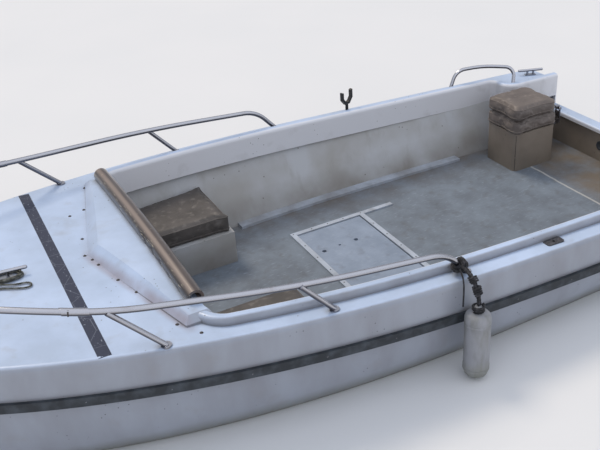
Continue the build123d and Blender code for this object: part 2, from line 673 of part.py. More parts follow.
# Fender, hung by a rope that is knotted round the rail's aft end
fender_y = edge(FENDER_X) + STRAKE_PROUD + FENDER_R + FENDER_GAP
round_end = FENDER_R * 0.7
low_z = FENDER_LOW
high_z = FENDER_TOP - 30
profile = make_face([
    Line((0, low_z), (FENDER_R - round_end, low_z)),
    CenterArc((FENDER_R - round_end, low_z + round_end), round_end, -90, 90),
    Line((FENDER_R, low_z + round_end), (FENDER_R, high_z - round_end)),
    CenterArc((FENDER_R - round_end, high_z - round_end), round_end, 0, 90),
    Line((FENDER_R - round_end, high_z), (FENDER_NECK, high_z)),
    Line((FENDER_NECK, high_z), (FENDER_NECK, FENDER_TOP)),
    Line((FENDER_NECK, FENDER_TOP), (0, FENDER_TOP)),
    Line((0, FENDER_TOP), (0, low_z)),
])
nodes["fender"] = Pos(FENDER_X, fender_y, 0) * revolve(Plane.XZ * profile, Axis.Z)
a = Vector(*half[0])
b = Vector(*half[1])
knot_a = a + (b - a) * 0.23
knot_b = a + (b - a) * 0.47
knot_mid = (knot_a + knot_b) * 0.5
knot = rod(tuple(knot_a), tuple(knot_b), KNOT_R) - whole_rail
drop = knot_mid.Z - FENDER_TOP
out = fender_y - knot_mid.Y
# shares of the way out and of the way down from knot to fender
ROPE_ROUTE = ((0.13, -0.04), (0.43, 0.0), (0.74, 0.24), (0.96, 0.6), (1.0, 0.99))
rope_points = []
for way_out, way_down in ROPE_ROUTE:
    rope_points.append((FENDER_X, knot_mid.Y + way_out * out, knot_mid.Z - way_down * drop))
rope, rope_radii = runs(rope_points)
rope_start = Plane(origin=rope @ 0, z_dir=rope % 0)
fender_rope = sweep(rope_start * Circle(ROPE_R), path=rope)
nodes["fender_rope"] = fender_rope - nodes["fender"]
nodes["fender_knot"] = knot - fender_rope
print("fender rope length", round(rope.length), "volume ratio",
      round(fender_rope.volume / (math.pi * ROPE_R ** 2 * rope.length), 3),
      "radii", [round(r) for r in rope_radii])
print("rope points", [tuple(round(c) for c in p) for p in rope_points])
print("rowlock", round(rowlock_y, 2), round(rowlock_z, 2), "hinge", hinge_x, hinge_z)

for name, shape in nodes.items():
    export_step(shape, f"parts/{name}.step")
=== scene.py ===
import math

import bmesh
import bpy
from mathutils import Matrix, Vector
from mathutils.bvhtree import BVHTree


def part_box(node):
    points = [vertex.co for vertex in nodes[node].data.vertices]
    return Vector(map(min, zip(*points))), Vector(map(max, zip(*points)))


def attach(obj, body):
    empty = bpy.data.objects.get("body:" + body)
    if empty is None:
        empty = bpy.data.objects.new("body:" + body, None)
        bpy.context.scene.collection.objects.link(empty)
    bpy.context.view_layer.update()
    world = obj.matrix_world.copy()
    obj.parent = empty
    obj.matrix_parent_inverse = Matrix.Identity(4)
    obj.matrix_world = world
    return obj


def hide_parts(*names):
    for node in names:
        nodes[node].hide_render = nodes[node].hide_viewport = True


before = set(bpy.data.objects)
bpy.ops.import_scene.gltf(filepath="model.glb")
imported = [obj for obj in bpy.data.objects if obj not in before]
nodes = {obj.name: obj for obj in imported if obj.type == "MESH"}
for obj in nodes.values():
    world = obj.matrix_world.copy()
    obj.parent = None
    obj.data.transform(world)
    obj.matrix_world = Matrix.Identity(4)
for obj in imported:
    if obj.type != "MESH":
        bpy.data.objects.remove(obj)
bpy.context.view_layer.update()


# Camera, floor and light
# The camera stands on the bank beside the port bow and looks down across the cockpit. The floor is the
# water's level: a pale sheet with an opening for the hull. The sky is brightest above the bank, and a
# low, soft, slightly warm sun stands on the far side.
scene = bpy.context.scene
scene.view_settings.view_transform = "Standard"

CAMERA_AT = Vector((1.60614, 3.28232, 2.44200))
CAMERA_RIGHT = Vector((-0.88326, 0.46431, -0.06534))
CAMERA_UP = Vector((-0.28402, -0.41893, 0.86246))
CAMERA_BACK = Vector((0.37307, 0.78033, 0.50189))
LENS = 52.1
SENSOR = 36.0
SIGHT = 200.0

lens = bpy.data.cameras.new("camera")
lens.lens = LENS
lens.sensor_width = SENSOR
lens.sensor_fit = "HORIZONTAL"
lens.clip_end = SIGHT
camera = bpy.data.objects.new("camera", lens)
camera_turn = Matrix((CAMERA_RIGHT, CAMERA_UP, CAMERA_BACK)).transposed().to_4x4()
camera.matrix_world = Matrix.Translation(CAMERA_AT) @ camera_turn
scene.collection.objects.link(camera)
scene.camera = camera


def linear(code):
    """Colour from its sRGB hex value."""
    levels = [int(code[i:i + 2], 16) / 255 for i in (1, 3, 5)]
    return [c / 12.92 if c <= 0.04045 else ((c + 0.055) / 1.055) ** 2.4 for c in levels] + [1.0]


def add(tree, kind, feeds=None, **settings):
    """Node with its settings, and its inputs set or linked, by name or number. Hex values are colours."""
    made = tree.nodes.new("ShaderNode" + kind)
    for key, value in settings.items():
        setattr(made, key, value)
    for key, value in (feeds or {}).items():
        named = [i for i in made.inputs if i.enabled and i.name == key]
        slot = named[0] if named else made.inputs[key]
        if isinstance(value, str):
            value = linear(value)
        if isinstance(value, bpy.types.Node):
            value = next(o for o in value.outputs if o.enabled)
        if isinstance(value, bpy.types.NodeSocket):
            tree.links.new(value, slot)
        else:
            slot.default_value = value
    return made


SUN_FROM = Vector((0.25, -1.0, 1.5))
SUN_STRENGTH = 1.35
SUN_SOFTNESS = math.radians(18)
SUN_COLOUR = "#ffeed6"
SKY = "#f1f5ff"
SKY_BRIGHTEST = (0.0, 0.5, 0.866)
SKY_TOP = 1.0
SKY_EDGE = 0.42
FLOOR_REACH = 40.0
HULL_CLEAR = 6.0
OPENING_SHARE = 0.97

sun = bpy.data.lights.new("low_sun", "SUN")
sun.energy = SUN_STRENGTH
sun.angle = SUN_SOFTNESS
sun.color = linear(SUN_COLOUR)[:3]
lamp = bpy.data.objects.new("low_sun", sun)
lamp.matrix_world = SUN_FROM.to_track_quat("Z", "Y").to_matrix().to_4x4()
scene.collection.objects.link(lamp)

world = bpy.data.worlds.new("sky")
world.use_nodes = True
scene.world = world
tree = world.node_tree
tree.nodes.clear()
way = add(tree, "TexCoord").outputs["Generated"]
towards = add(tree, "VectorMath", {0: way, 1: SKY_BRIGHTEST}, operation="DOT_PRODUCT").outputs["Value"]
level = add(tree, "MapRange", {"Value": towards, "From Max": 0.8, "To Min": SKY_EDGE, "To Max": SKY_TOP})
light = add(tree, "Background", {"Color": SKY, "Strength": level})
add(tree, "OutputWorld", {"Surface": light})


def new_finish(name):
    """Material with an empty tree, and the piece's own coordinates in it."""
    made = bpy.data.materials.new(name)
    made.use_nodes = True
    tree = made.node_tree
    tree.nodes.clear()
    return made, tree, add(tree, "TexCoord").outputs["Object"]


still_floor, tree, place = new_finish("pale_still_floor")
tone = add(tree, "TexNoise", {"Vector": place, "Scale": 0.8, "Detail": 2.0})
colour = add(tree, "Mix", {"Factor": tone, "A": "#e4e5e7", "B": "#dcdfe2"}, data_type="RGBA")
shader = add(tree, "BsdfPrincipled", {"Base Color": colour, "Roughness": 0.75})
add(tree, "OutputMaterial", {"Surface": shader})

# the opening follows the hull's own section just above the waterline, drawn in a little
hull = bmesh.new()
hull.from_mesh(nodes["hull_shell"].data)
skin = BVHTree.FromBMesh(hull)
hull.free()
stage = bmesh.new()
ring = bmesh.ops.create_circle(stage, cap_ends=False, radius=1.0, segments=96)["verts"]
for v in ring:
    way = v.co.normalized()
    hit = skin.ray_cast(way * HULL_CLEAR + Vector((0, 0, 0.001)), -way)[0]
    v.co = way * hit.xy.length * OPENING_SHARE
grown = bmesh.ops.extrude_edge_only(stage, edges=stage.edges[:])["geom"]
for v in grown:
    if isinstance(v, bmesh.types.BMVert):
        v.co = v.co.normalized() * FLOOR_REACH
bmesh.ops.recalc_face_normals(stage, faces=stage.faces)
if stage.faces[0].normal.z < 0:
    bmesh.ops.reverse_faces(stage, faces=stage.faces)
sheet = bpy.data.meshes.new("stage_floor")
stage.to_mesh(sheet)
stage.free()
sheet.materials.append(still_floor)
floor_stage = bpy.data.objects.new("stage_floor", sheet)
scene.collection.objects.link(floor_stage)


# Fender rope and its knot
# A 14 mm rope, laid up from three strands and near black with age, is hitched round the foot of the guard
# rail and drops to the fender's eye. The hitch's short end hangs down beside it.
ROPE = 0.014
STRANDS = 3
ROPE_ROUTE = ((-0.240, 0.908, 0.488), (-0.240, 0.948, 0.483), (-0.240, 0.990, 0.454),
              (-0.240, 1.020, 0.409), (-0.240, 1.025, 0.361))
KNOT_FROM = Vector((-0.2547, 0.8888, 0.4680))
KNOT_TO = Vector((-0.2283, 0.8914, 0.4981))


def curve_of(name, kind, tracks):
    """Curve with a spline along each track of points."""
    data = bpy.data.curves.new(name, "CURVE")
    data.dimensions = "3D"
    for track in tracks:
        spline = data.splines.new(kind)
        spline.points.add(len(track) - 1)
        for point, at in zip(spline.points, track):
            point.co = (*at, 1.0)
    curve = bpy.data.objects.new(name, data)
    scene.collection.objects.link(curve)
    return curve


def read_mesh(thing):
    """Mesh of an object as its curve or its modifiers shape it."""
    bpy.context.view_layer.update()
    return bpy.data.meshes.new_from_object(thing.evaluated_get(bpy.context.evaluated_depsgraph_get()))


def read_line(route, steps):
    """Points of the smooth line that the route's points control."""
    curve = curve_of("line", "NURBS", [route])
    curve.data.resolution_u = steps
    curve.data.splines[0].order_u = 3
    curve.data.splines[0].use_endpoint_u = True
    mesh = read_mesh(curve)
    points = [v.co.copy() for v in mesh.vertices]
    bpy.data.objects.remove(curve)
    bpy.data.meshes.remove(mesh)
    return points


def tubes(name, tracks, thick, finish, closed=False, sides=1):
    """Round tubes along tracks of points, as one mesh."""
    curve = curve_of(name, "POLY", tracks)
    curve.data.bevel_depth = thick / 2
    curve.data.bevel_resolution = sides
    curve.data.use_fill_caps = True
    for spline in curve.data.splines:
        spline.use_cyclic_u = closed
    mesh = read_mesh(curve)
    bpy.data.objects.remove(curve)
    mesh.materials.clear()
    mesh.materials.append(finish)
    for face in mesh.polygons:
        face.use_smooth = True
    made = bpy.data.objects.new(name, mesh)
    scene.collection.objects.link(made)
    return made


def around(first, second, angle):
    """Direction at an angle from the first of two that stand square to each other."""
    return first * math.cos(angle) + second * math.sin(angle)


def laid_rope(name, route, thick, finish, steps=12):
    """Strands wound round the route's smooth line, and that line."""
    line = read_line(route, steps)
    gap = thick * 0.24
    step = thick * 0.35
    lay = thick * 3.4
    fine = []
    for a, b in zip(line, line[1:]):
        count = max(1, round((b - a).length / step))
        fine += [a.lerp(b, i / count) for i in range(count)]
    fine.append(line[-1])
    side = (fine[1] - fine[0]).orthogonal().normalized()
    run = 0.0
    tracks = [[] for _ in range(STRANDS)]
    for i, at in enumerate(fine):
        ahead = (fine[min(i + 1, len(fine) - 1)] - fine[max(i - 1, 0)]).normalized()
        side = (side - ahead * side.dot(ahead)).normalized()
        across = ahead.cross(side)
        for k, track in enumerate(tracks):
            track.append(at + around(side, across, 2 * math.pi * (k / STRANDS + run / lay)) * gap)
        if i + 1 < len(fine):
            run += (fine[i + 1] - at).length
    return tubes(name, tracks, thick - 2 * gap, finish), line


# polypropylene rope gone dull: near-black strands with paler worn fibres along their crowns
dark_rope, tree, place = new_finish("weathered_polypropylene_rope")
worn = add(tree, "TexNoise", {"Vector": place, "Scale": 60.0, "Detail": 5.0})
pale = add(tree, "MapRange", {"Value": worn, "From Min": 0.48, "From Max": 0.68, "To Max": 0.7})
colour = add(tree, "Mix", {"Factor": pale, "A": "#191a1f", "B": "#4c4b50"}, data_type="RGBA")
fibre = add(tree, "Mapping", {"Vector": place, "Scale": (700.0, 700.0, 220.0)})
hairs = add(tree, "TexNoise", {"Vector": fibre, "Scale": 1.0, "Detail": 3.0})
bump = add(tree, "Bump", {"Height": hairs, "Strength": 0.6, "Distance": 0.001})
shader = add(tree, "BsdfPrincipled", {"Base Color": colour, "Roughness": 0.85, "Normal": bump,
                                      "Sheen Weight": 0.15})
add(tree, "OutputMaterial", {"Surface": shader})

fender_line, line = laid_rope("fender_line", ROPE_ROUTE, ROPE, dark_rope)

# the hitch: round turns on the rail, three crossing turns over them, and the short end
POINTS = 12
TURNS = 3
TURN_R = 0.0185
axis = (KNOT_TO - KNOT_FROM).normalized()
out = (Vector((0, 1, 0)) - axis * axis.y).normalized()
along = axis.cross(out)
round_turns = []
for i in range(TURNS * POINTS + 1):
    at = KNOT_FROM.lerp(KNOT_TO, 0.05 + 0.9 * i / (TURNS * POINTS))
    round_turns.append(at + around(out, along, 2 * math.pi * i / POINTS) * TURN_R)
knot_turns, _ = laid_rope("knot_turns", round_turns, 0.0115, dark_rope, steps=4)
knot_pieces = [knot_turns]
# each crossing's lean along the rail and its reach from it
CROSSINGS = ((0.9, 0.0275), (-0.8, 0.0300), (0.3, 0.0320))
for number, (lean, reach) in enumerate(CROSSINGS):
    crossing = []
    for i in range(2 * POINTS + 1):
        angle = 2 * math.pi * i / POINTS + number
        share = 0.5 + 0.42 * lean * math.sin(angle + 0.6) - 0.1 * math.cos(2 * angle)
        uneven = reach + 0.0016 * math.sin(3 * angle)
        crossing.append(KNOT_FROM.lerp(KNOT_TO, share) + around(out, along, angle) * uneven)
    knot_pieces.append(laid_rope(f"knot_crossing_{number}", crossing, 0.0105, dark_rope, steps=4)[0])
# the line is taken down and back, so a second part lies beside the first
second_route = [(x - 0.010, y - 0.003, z - 0.002) for x, y, z in ROPE_ROUTE]
knot_pieces.append(laid_rope("fender_line_second", second_route, 0.012, dark_rope)[0])
# two short lashings hold the parts together: the share of the line where each lies, and its wraps
LASHINGS = ((0.42, 3), (0.72, 4))
LASHING_LINE = 0.009
for number, (share, wraps) in enumerate(LASHINGS):
    mark = round(share * (len(line) - 1))
    middle = line[mark] + Vector((-0.005, -0.001, 0.0))
    ahead = (line[mark + 1] - line[mark - 1]).normalized()
    across = ahead.cross(Vector((1, 0, 0))).normalized()
    lashing = []
    for i in range(wraps * POINTS + 1):
        angle = 2 * math.pi * i / POINTS
        reach = Vector((1, 0, 0)) * math.cos(angle) * 0.0175 + across * math.sin(angle) * 0.0125
        lashing.append(middle + reach + ahead * LASHING_LINE * (i / POINTS - wraps / 2))
    knot_pieces.append(laid_rope(f"fender_lashing_{number}", lashing, LASHING_LINE, dark_rope, steps=4)[0])
# two and a half turns at the fender's eye
EYE_AT = (-0.240, 1.0254, 0.3375)
EYE_R = 0.0235
EYE_RISE = 0.0105
eye_turns = []
for i in range(31):
    angle = 2 * math.pi * i / POINTS
    eye_turns.append((EYE_AT[0] + EYE_R * math.cos(angle), EYE_AT[1] + EYE_R * math.sin(angle),
                      EYE_AT[2] + EYE_RISE * i / POINTS))
knot_pieces.append(laid_rope("knot_eye", eye_turns, 0.010, dark_rope, steps=4)[0])
SHORT_END = ((-0.226, 0.915, 0.480), (-0.214, 0.950, 0.474), (-0.202, 0.976, 0.448), (-0.196, 0.984, 0.405),
             (-0.194, 0.985, 0.350))
knot_pieces.append(laid_rope("knot_short_end", SHORT_END, 0.008, dark_rope, steps=8)[0])
for piece in [fender_line] + knot_pieces:
    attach(piece, "boat")
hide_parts("fender_rope")
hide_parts("fender_knot")


# Rope hank on the bow cleat
# Some 2.3 m of 8 mm olive rope, wound in five long flat turns round the base of the cleat, under its
# horns. A last bight lies loose on the deck to port.
LINE = 0.008
HANK_AT = Vector((1.420, 0.020, 0.5394))
HANK_TILT = math.atan(0.0707)
HANK_POINTS = 14
LOWER = 3
UPPER = 2
FIRST_WIDE = 0.0265
WIDENING = 0.0165
NARROWING = 0.0125
ON_DECK = 0.0046
NEXT_LAYER = 0.0085
hank_route = []
for i in range((LOWER + UPPER) * HANK_POINTS + 2):
    turn = i / HANK_POINTS
    angle = 2 * math.pi * turn
    if turn <= LOWER:
        wide = FIRST_WIDE + WIDENING * turn / LOWER
        lift = ON_DECK
    else:
        wide = FIRST_WIDE + WIDENING - NARROWING * (turn - LOWER) / UPPER
        lift = ON_DECK + NEXT_LAYER * min(1.0, (turn - LOWER) * 3)
    straight = 0.046 - 0.004 * math.cos(1.7 * turn)
    fore = straight * math.tanh(2.2 * math.cos(angle)) + wide * math.cos(angle)
    hank_route.append((fore, wide * math.sin(angle), lift))
# the line comes down from the hank, and its loose bight lies on the deck, with the bare end back forward
BIGHT = ((-0.050, 0.080), (-0.078, 0.080), (-0.098, 0.090), (-0.100, 0.112), (-0.082, 0.123),
         (-0.054, 0.117), (-0.016, 0.098), (0.022, 0.081), (0.058, 0.071))
hank_route += [(0.052, 0.036, 0.0125), (0.024, 0.056, 0.010), (-0.014, 0.070, 0.006)]
hank_route += [(x, y, ON_DECK) for x, y in BIGHT]
tilt = Matrix.Rotation(-HANK_TILT, 4, "Y")
hank_route = [HANK_AT + tilt @ Vector(at) for at in hank_route]

# braided polyester gone olive: mid-grey strands with green and dirt in the lay
olive_rope, tree, place = new_finish("weathered_polyester_rope")
worn = add(tree, "TexNoise", {"Vector": place, "Scale": 55.0, "Detail": 4.0})
share = add(tree, "MapRange", {"Value": worn, "From Min": 0.35, "From Max": 0.65})
colour = add(tree, "Mix", {"Factor": share, "A": "#3a3b35", "B": "#7d7e78"}, data_type="RGBA")
hairs = add(tree, "TexNoise", {"Vector": place, "Scale": 700.0, "Detail": 2.0})
bump = add(tree, "Bump", {"Height": hairs, "Strength": 0.5, "Distance": 0.001})
shader = add(tree, "BsdfPrincipled", {"Base Color": colour, "Roughness": 0.9, "Normal": bump})
add(tree, "OutputMaterial", {"Surface": shader})

bow_hank, line = laid_rope("bow_hank", hank_route, LINE, olive_rope, steps=4)
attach(bow_hank, "boat")
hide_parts("bow_rope")


# Hull, decks and transom cap
# Glass-fibre mouldings in white gelcoat, laid up in polished moulds and now cool white and a little
# chalky. Grime and painted shade darken the foot of the raised panel, painted shade and dirt darken the
# corners, and dark specks of mould sit in clusters. The outsides are painted grey, as weathering and painted
# shade, faces that are not tops carry painted shade, faces turned inwards carry painted light, and a dull
# green band runs along the water.
def dress(names, finish):
    """Give CAD nodes their finish."""
    for name in names:
        mesh = nodes[name].data
        mesh.materials.clear()
        mesh.materials.append(finish)


gelcoat, tree, place = new_finish("polished_white_gelcoat")
spread = add(tree, "SeparateXYZ", {"Vector": place})
facing = add(tree, "TexCoord").outputs["Normal"]
# chalky clouds a hand wide
patches = add(tree, "TexNoise", {"Vector": place, "Scale": 4.0, "Detail": 5.0, "Roughness": 0.6})
tone = add(tree, "MapRange", {"Value": patches, "From Min": 0.36, "From Max": 0.66})
chalky = add(tree, "Mix", {"Factor": tone, "A": "#c0d2ee", "B": "#b1c2db"}, data_type="RGBA")
# outsides painted grey, as painted shade with weathered streaks: where a face looks away from the boat's
# middle
flat_place = add(tree, "VectorMath", {0: place, 1: (0.15, 1.0, 0.0)}, operation="MULTIPLY")
outward = add(tree, "VectorMath", {0: flat_place, 1: facing}, operation="DOT_PRODUCT").outputs["Value"]
shaded_outside = add(tree, "MapRange", {"Value": outward, "From Min": 0.18, "From Max": 0.52, "To Max": 0.92})
side_runs = add(tree, "Mapping", {"Vector": place, "Scale": (8.0, 8.0, 2.4)})
side_marks = add(tree, "TexNoise", {"Vector": side_runs, "Scale": 1.0, "Detail": 4.0})
side_tone = add(tree, "MapRange", {"Value": side_marks, "From Min": 0.36, "From Max": 0.78})
side_shade_colour = add(tree, "Mix", {"Factor": side_tone, "A": "#979da9", "B": "#878a93"}, data_type="RGBA")
# faces that are not tops are painted greyer, as painted shade
rises = add(tree, "SeparateXYZ", {"Vector": facing})
lit_tops = add(tree, "MapRange", {"Value": rises.outputs["Z"], "From Min": 0.2, "From Max": 0.55})
coat = add(tree, "Mix", {"Factor": lit_tops, "A": "#c2c5cc", "B": chalky}, data_type="RGBA")
# faces turned towards the boat's middle are painted paler, as painted light
lit_inside = add(tree, "MapRange", {"Value": outward, "From Min": -0.15, "From Max": -0.45, "To Max": 0.9})
lit_inward = add(tree, "Mix", {"Factor": lit_inside, "A": coat, "B": "#e0e1e6"}, data_type="RGBA")
weathered_and_shaded = add(tree, "Mix", {"Factor": shaded_outside, "A": lit_inward, "B": side_shade_colour}, data_type="RGBA")
# smears, faint and brownish
smears = add(tree, "TexNoise", {"Vector": place, "Scale": 9.0, "Detail": 6.0, "Distortion": 0.2})
smear = add(tree, "MapRange", {"Value": smears, "From Min": 0.58, "From Max": 0.80, "To Max": 0.3})
smeared = add(tree, "Mix", {"Factor": smear, "A": weathered_and_shaded, "B": "#8d8a86"}, data_type="RGBA")
# grime with painted shade in a band along the foot of the panel, heavier to port; the panel's sides run aft
# and outwards from its point
apart = add(tree, "Math", {0: spread.outputs["Y"]}, operation="ABSOLUTE")
foot_line = add(tree, "Math", {0: apart, 1: 0.27, 2: spread.outputs["X"]}, operation="MULTIPLY_ADD")
from_foot = add(tree, "Math", {0: foot_line, 1: 1.058}, operation="SUBTRACT")
off_foot = add(tree, "Math", {0: from_foot}, operation="ABSOLUTE")
band = add(tree, "MapRange", {"Value": off_foot, "From Min": 0.040, "From Max": 0.004},
           interpolation_type="SMOOTHSTEP")
fading = add(tree, "MapRange", {"Value": patches, "From Min": 0.34, "From Max": 0.60, "To Min": 0.4,
                                "To Max": 0.9})
banded = add(tree, "Math", {0: band, 1: fading}, operation="MULTIPLY")
to_port = add(tree, "MapRange", {"Value": spread.outputs["Y"], "From Min": -0.06, "From Max": 0.06,
                                 "To Min": 0.15})
deck_high = add(tree, "MapRange", {"Value": spread.outputs["Z"], "From Min": 0.47, "From Max": 0.49})
short = add(tree, "MapRange", {"Value": apart, "From Min": 0.75, "From Max": 0.68})
heavier = add(tree, "Math", {0: to_port, 1: deck_high}, operation="MULTIPLY")
bounded = add(tree, "Math", {0: heavier, 1: short}, operation="MULTIPLY")
grime_and_shade = add(tree, "Math", {0: banded, 1: bounded}, operation="MULTIPLY")
grimed_and_shaded = add(tree, "Mix", {"Factor": grime_and_shade, "A": smeared, "B": "#9c99a6"}, data_type="RGBA")
# painted shade and dirt in the corners, read from how closed the surface is within 30 mm
closed = add(tree, "AmbientOcclusion", {"Distance": 0.03}, samples=6)
corner_shade_and_dirt = add(tree, "MapRange", {"Value": closed.outputs["AO"], "From Min": 0.82, "From Max": 0.45,
                                "To Max": 0.6})
corner_shaded = add(tree, "Mix", {"Factor": corner_shade_and_dirt, "A": grimed_and_shaded, "B": "#6d6862"}, data_type="RGBA")
# mould specks 2 to 5 mm wide, in clusters
cells = add(tree, "TexVoronoi", {"Vector": place, "Scale": 42.0, "Randomness": 1.0})
spot = add(tree, "MapRange", {"Value": cells.outputs["Distance"], "From Min": 0.115, "From Max": 0.07})
where = add(tree, "TexNoise", {"Vector": place, "Scale": 8.0, "Detail": 2.0})
there = add(tree, "MapRange", {"Value": where, "From Min": 0.57, "From Max": 0.63})
specks = add(tree, "Math", {0: spot, 1: there}, operation="MULTIPLY")
specked = add(tree, "Mix", {"Factor": specks, "A": corner_shaded, "B": "#433e3b"}, data_type="RGBA")
# green and brown at the water
wet = add(tree, "MapRange", {"Value": spread.outputs["Z"], "From Min": 0.10, "From Max": 0.0, "To Max": 0.8})
stained = add(tree, "Mix", {"Factor": wet, "A": specked, "B": "#5a5c4c"}, data_type="RGBA")
shine = add(tree, "MapRange", {"Value": smears, "From Min": 0.35, "From Max": 0.7, "To Min": 0.28,
                               "To Max": 0.42})
peel = add(tree, "TexNoise", {"Vector": place, "Scale": 200.0, "Detail": 2.0})
bump = add(tree, "Bump", {"Height": peel, "Strength": 0.05, "Distance": 0.001})
shader = add(tree, "BsdfPrincipled", {"Base Color": stained, "Roughness": shine, "IOR": 1.5, "Normal": bump,
                                      "Coat Weight": 0.2, "Coat Roughness": 0.2})
add(tree, "OutputMaterial", {"Surface": shader})
dress(("hull_shell", "keel", "foredeck", "side_deck_port", "side_deck_starboard", "quarter_deck_port",
       "quarter_deck_starboard", "transom_cap"), gelcoat)


# Tape stripe across the foredeck
# Self-adhesive anti-slip tape in dark slate, laid nearly square across the deck. It is scuffed pale in
# spots and cracked, and carries no marking.
def solid_of(*names):
    """Search tree over CAD nodes, for setting small pieces on their surface."""
    joined = bmesh.new()
    for name in names:
        joined.from_mesh(nodes[name].data)
    bmesh.ops.remove_doubles(joined, verts=joined.verts, dist=1e-5)
    found = BVHTree.FromBMesh(joined)
    joined.free()
    return found


def finish_piece(name, shape, finish, body="boat"):
    """Object from a bmesh, dressed and riding on its body."""
    mesh = bpy.data.meshes.new(name)
    shape.to_mesh(mesh)
    shape.free()
    mesh.materials.append(finish)
    for face in mesh.polygons:
        face.use_smooth = True
    piece = bpy.data.objects.new(name, mesh)
    scene.collection.objects.link(piece)
    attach(piece, body)
    return piece


STRIPE_AFT = 1.160
STRIPE_FORE = 1.210
STRIPE_SLANT = 0.016
STRIPE_REACH = 0.732
STRIPE_THICK = 0.0007
ABOVE = 1.5
DOWN = Vector((0, 0, -1))
deck_top = solid_of("foredeck")

tape, tree, place = new_finish("scuffed_vinyl_tape")
grit = add(tree, "TexNoise", {"Vector": place, "Scale": 160.0, "Detail": 3.0})
base = add(tree, "Mix", {"Factor": grit, "A": "#252b3e", "B": "#384056"}, data_type="RGBA")
rubbed = add(tree, "Mapping", {"Vector": place, "Rotation": (0.0, 0.0, 0.5), "Scale": (150.0, 60.0, 60.0)})
marks = add(tree, "TexNoise", {"Vector": rubbed, "Scale": 1.0, "Detail": 4.0})
bare = add(tree, "MapRange", {"Value": marks, "From Min": 0.64, "From Max": 0.72, "To Max": 0.7})
cracks = add(tree, "TexVoronoi", {"Vector": place, "Scale": 9.0}, feature="DISTANCE_TO_EDGE")
crack = add(tree, "MapRange", {"Value": cracks, "From Min": 0.010, "From Max": 0.003, "To Max": 0.3})
both = add(tree, "Math", {0: bare, 1: crack}, operation="MAXIMUM")
colour = add(tree, "Mix", {"Factor": both, "A": base, "B": "#aab3c2"}, data_type="RGBA")
bump = add(tree, "Bump", {"Height": grit, "Strength": 0.3, "Distance": 0.0006})
shader = add(tree, "BsdfPrincipled", {"Base Color": colour, "Roughness": 0.7, "Normal": bump})
add(tree, "OutputMaterial", {"Surface": shader})

stripe = bmesh.new()
bmesh.ops.create_grid(stripe, x_segments=4, y_segments=90, size=0.5)
for v in list(stripe.verts):
    y = v.co.y * 2 * STRIPE_REACH
    x = STRIPE_AFT + (v.co.x + 0.5) * (STRIPE_FORE - STRIPE_AFT) + STRIPE_SLANT * y
    hit = deck_top.ray_cast(Vector((x, y, ABOVE)), DOWN)[0]
    v.co = Vector((x, y, (hit.z if hit else 0.5) + STRIPE_THICK))
bmesh.ops.recalc_face_normals(stripe, faces=stripe.faces)
if stripe.faces[0].normal.z < 0:
    bmesh.ops.reverse_faces(stripe, faces=stripe.faces)
finish_piece("deck_stripe", stripe, tape)


# Press studs round the foredeck panel
# Nickelled brass studs of a lost spray cover, riveted through the deck along the foot of the raised
# panel. They have gone dark.
STUD_R = 0.0075
STUDS = ((0.890, -0.663), (0.956, -0.433), (1.038, -0.157), (1.068, -0.006), (1.048, 0.042), (1.037, 0.095),
         (1.001, 0.252), (0.963, 0.376), (0.899, 0.666), (0.838, 0.759), (1.031, -0.400))


def upright_on(found, normal):
    """Placement of a small piece on a surface point, its Z along the normal."""
    return Matrix.Translation(found) @ normal.to_track_quat("Z", "Y").to_matrix().to_4x4()


def turned(shape, profile, place, steps=16):
    """Spin a profile, closed at its middle, and set it in place."""
    made = bmesh.new()
    line = [made.verts.new((r, 0, z)) for r, z in profile]
    edges = [made.edges.new(pair) for pair in zip(line, line[1:])]
    bmesh.ops.spin(made, geom=line + edges, axis=(0, 0, 1), cent=(0, 0, 0), angle=2 * math.pi, steps=steps,
                   use_merge=True)
    bmesh.ops.remove_doubles(made, verts=made.verts, dist=1e-5)
    bmesh.ops.recalc_face_normals(made, faces=made.faces)
    bmesh.ops.transform(made, matrix=place, verts=made.verts)
    part = bpy.data.meshes.new("part")
    made.to_mesh(part)
    made.free()
    shape.from_mesh(part)
    bpy.data.meshes.remove(part)


tarnished, tree, place = new_finish("tarnished_nickelled_brass")
dull = add(tree, "TexNoise", {"Vector": place, "Scale": 300.0, "Detail": 3.0})
colour = add(tree, "Mix", {"Factor": dull, "A": "#2c2a2b", "B": "#6b6663"}, data_type="RGBA")
shader = add(tree, "BsdfPrincipled", {"Base Color": colour, "Metallic": 0.6, "Roughness": 0.5})
add(tree, "OutputMaterial", {"Surface": shader})

STUD_PROFILE = ((0.0, 0.0045), (0.0028, 0.0045), (0.0036, 0.0036), (0.0030, 0.0022), (0.0062, 0.0016),
                (STUD_R, 0.0006), (STUD_R, -0.0008), (0.0, -0.0008))
stud_row = bmesh.new()
for x, y in STUDS:
    hit, normal, _, _ = deck_top.ray_cast(Vector((x, y, ABOVE)), DOWN)
    if hit:
        turned(stud_row, STUD_PROFILE, upright_on(hit, normal))
finish_piece("press_studs", stud_row, tarnished)


# Rubbing strake
# A black rubber D-section screwed over the joint of hull and deck, its screws sunk in the rubber. It is
# dull and dark grey-blue, with salt dried on it in patches.
rubber, tree, place = new_finish("extruded_rubber")
salt = add(tree, "TexNoise", {"Vector": place, "Scale": 22.0, "Detail": 6.0})
grey = add(tree, "MapRange", {"Value": salt, "From Min": 0.42, "From Max": 0.72, "To Max": 0.7})
colour = add(tree, "Mix", {"Factor": grey, "A": "#262b31", "B": "#4d545c"}, data_type="RGBA")
rough = add(tree, "MapRange", {"Value": salt, "To Min": 0.45, "To Max": 0.8})
ribs = add(tree, "TexNoise", {"Vector": place, "Scale": 150.0, "Detail": 2.0})
bump = add(tree, "Bump", {"Height": ribs, "Strength": 0.12, "Distance": 0.001})
shader = add(tree, "BsdfPrincipled", {"Base Color": colour, "Roughness": rough, "Normal": bump})
add(tree, "OutputMaterial", {"Surface": shader})
dress(("strake_port", "strake_starboard"), rubber)
